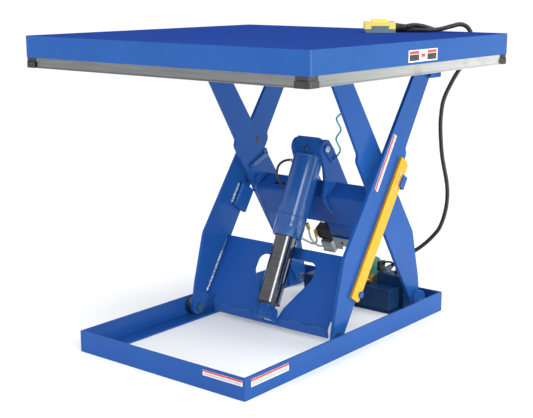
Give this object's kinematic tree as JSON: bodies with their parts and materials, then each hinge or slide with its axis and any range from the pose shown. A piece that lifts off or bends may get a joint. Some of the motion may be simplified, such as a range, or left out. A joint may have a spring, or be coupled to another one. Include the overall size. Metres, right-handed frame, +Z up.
{
  "type": "hydraulic scissor lift table",
  "caption": "Electric hydraulic scissor lift table with a square skirted platform, crossed legs, a central ram, toe guard, swing-up prop and push-button pendant.",
  "frame": {"origin": "bottom centre of the bounding box, on the floor, without the conduit", "axes": "+Z up, +X towards the fixed-pivot end with the power unit, -Y towards the side with the prop"},
  "size_m": [1.2549, 1.2192, 1.1405],
  "materials": {
    "blue_paint": "semi-gloss",
    "green_paint": "semi-gloss",
    "brass": "machined",
    "zinc_steel": "zinc plated",
    "roller_steel": "machined",
    "chrome_rod": "polished",
    "yellow_paint": "semi-gloss",
    "guard_aluminium": "mill finish",
    "black_plastic": "matte",
    "conduit_black": "corrugated",
    "hose_rubber": "satin",
    "teal_wire": "satin",
    "yellow_plastic": "satin",
    "grey_plastic": "matte",
    "button_plastic": "gloss"
  },
  "bodies": {
    "base": {"base_rail_front": "blue_paint", "base_rail_back": "blue_paint", "base_rail_near": "blue_paint", "base_rail_far": "blue_paint", "base_bracket_near": "blue_paint", "base_bracket_far": "blue_paint", "base_pin_near": "zinc_steel", "base_pin_far": "zinc_steel", "reservoir": "blue_paint", "pump_motor": "green_paint", "pump_block": "brass", "control_box": "blue_paint", "conduit_drop": "conduit_black"},
    "inner_frame": {"inner_leg_near": "blue_paint", "inner_leg_far": "blue_paint", "torque_tube": "blue_paint", "ram_lever_near": "blue_paint", "ram_lever_far": "blue_paint", "ram_pin": "zinc_steel", "valve_block": "black_plastic", "ram_hose": "hose_rubber", "switch_wire": "teal_wire"},
    "outer_frame": {"outer_leg_near": "blue_paint", "outer_leg_far": "blue_paint", "centre_pin_near": "blue_paint", "centre_pin_far": "blue_paint", "leg_stiffener_near": "blue_paint", "leg_stiffener_far": "blue_paint", "cross_plate": "blue_paint", "foot_bar": "blue_paint", "ram_lug_near": "blue_paint", "ram_lug_far": "blue_paint", "prop_bolt": "zinc_steel"},
    "barrel": {"ram_barrel": "blue_paint"},
    "rod": {"ram_rod": "chrome_rod", "ram_eye": "blue_paint", "foot_pin": "zinc_steel"},
    "platform": {"deck": "blue_paint", "deck_bracket_near": "blue_paint", "deck_bracket_far": "blue_paint", "deck_pin_near": "zinc_steel", "deck_pin_far": "zinc_steel", "roller_track_near": "blue_paint", "roller_track_far": "blue_paint", "conduit_deck": "conduit_black", "pendant_front": "yellow_plastic", "pendant_back": "grey_plastic", "strain_relief": "black_plastic"},
    "toe_guard_frame": {"toe_guard": "guard_aluminium", "guard_corner_back_far": "black_plastic", "guard_corner_back_near": "black_plastic", "guard_corner_front_far": "black_plastic", "guard_corner_front_near": "black_plastic"},
    "prop": {"maintenance_prop": "yellow_paint"},
    "up_button": {"button_up": "button_plastic"},
    "down_button": {"button_down": "button_plastic"},
    "low_roller_near_wheel": {"low_roller_near": "roller_steel"},
    "low_roller_far_wheel": {"low_roller_far": "roller_steel"},
    "top_roller_near_wheel": {"top_roller_near": "roller_steel"},
    "top_roller_far_wheel": {"top_roller_far": "roller_steel"}
  },
  "joints": [
    {"name": "lift_pivot", "type": "hinge", "parent": "base", "child": "inner_frame", "pos_m": [0.552, 0, 0.038], "axis": [0, 1, 0], "range_deg": [-55.4, 0], "deforming": ["conduit_drop"]},
    {"name": "centre_pivot", "type": "hinge", "parent": "inner_frame", "child": "outer_frame", "pos_m": [0.251, 0, 0.508], "axis": [0, 1, 0], "range_deg": [0, 110.8]},
    {"name": "deck_pivot", "type": "hinge", "parent": "outer_frame", "child": "platform", "pos_m": [0.552, 0, 0.978], "axis": [0, 1, 0], "range_deg": [-55.4, 0]},
    {"name": "ram_pivot", "type": "hinge", "parent": "inner_frame", "child": "barrel", "pos_m": [0.24, 0, 0.66], "axis": [0, 1, 0], "range_deg": [0, 107.51], "deforming": ["ram_hose"]},
    {"name": "rod_slide", "type": "slide", "parent": "barrel", "child": "rod", "axis": [-0.4267, 0, -0.9044], "range_m": [-0.2492, 0]},
    {"name": "toe_guard_lift", "type": "slide", "parent": "platform", "child": "toe_guard_frame", "axis": [0, 0, 1], "range_m": [0, 0.012]},
    {"name": "prop_swing", "type": "hinge", "parent": "outer_frame", "child": "prop", "pos_m": [0.07022, -0.341, 0.18307], "axis": [0, -1, 0], "range_deg": [0, 136]},
    {"name": "low_roller_near_spin", "type": "hinge", "parent": "outer_frame", "child": "low_roller_near_wheel", "pos_m": [-0.05, -0.35, 0.038], "axis": [0, 1, 0], "continuous": true},
    {"name": "low_roller_far_spin", "type": "hinge", "parent": "outer_frame", "child": "low_roller_far_wheel", "pos_m": [-0.05, 0.35, 0.038], "axis": [0, 1, 0], "continuous": true},
    {"name": "top_roller_near_spin", "type": "hinge", "parent": "inner_frame", "child": "top_roller_near_wheel", "pos_m": [-0.05, -0.3034, 0.978], "axis": [0, 1, 0], "continuous": true},
    {"name": "top_roller_far_spin", "type": "hinge", "parent": "inner_frame", "child": "top_roller_far_wheel", "pos_m": [-0.05, 0.3034, 0.978], "axis": [0, 1, 0], "continuous": true},
    {"name": "up_press", "type": "slide", "parent": "platform", "child": "up_button", "axis": [0, 0, -1], "range_m": [0, 0.0035], "stiffness_N_per_m": 400, "springref_m": -0.001},
    {"name": "down_press", "type": "slide", "parent": "platform", "child": "down_button", "axis": [0, 0, -1], "range_m": [0, 0.0035], "stiffness_N_per_m": 400, "springref_m": -0.001}
  ],
  "couplings": [
    {"joint": "centre_pivot", "follows": "lift_pivot", "ratio": -2},
    {"joint": "deck_pivot", "follows": "lift_pivot", "ratio": 1},
    {"joint": "ram_pivot", "follows": "lift_pivot", "ratio": -1.9408},
    {"joint": "rod_slide", "follows": "lift_pivot", "m_per_rad": 0.25773}
  ]
}
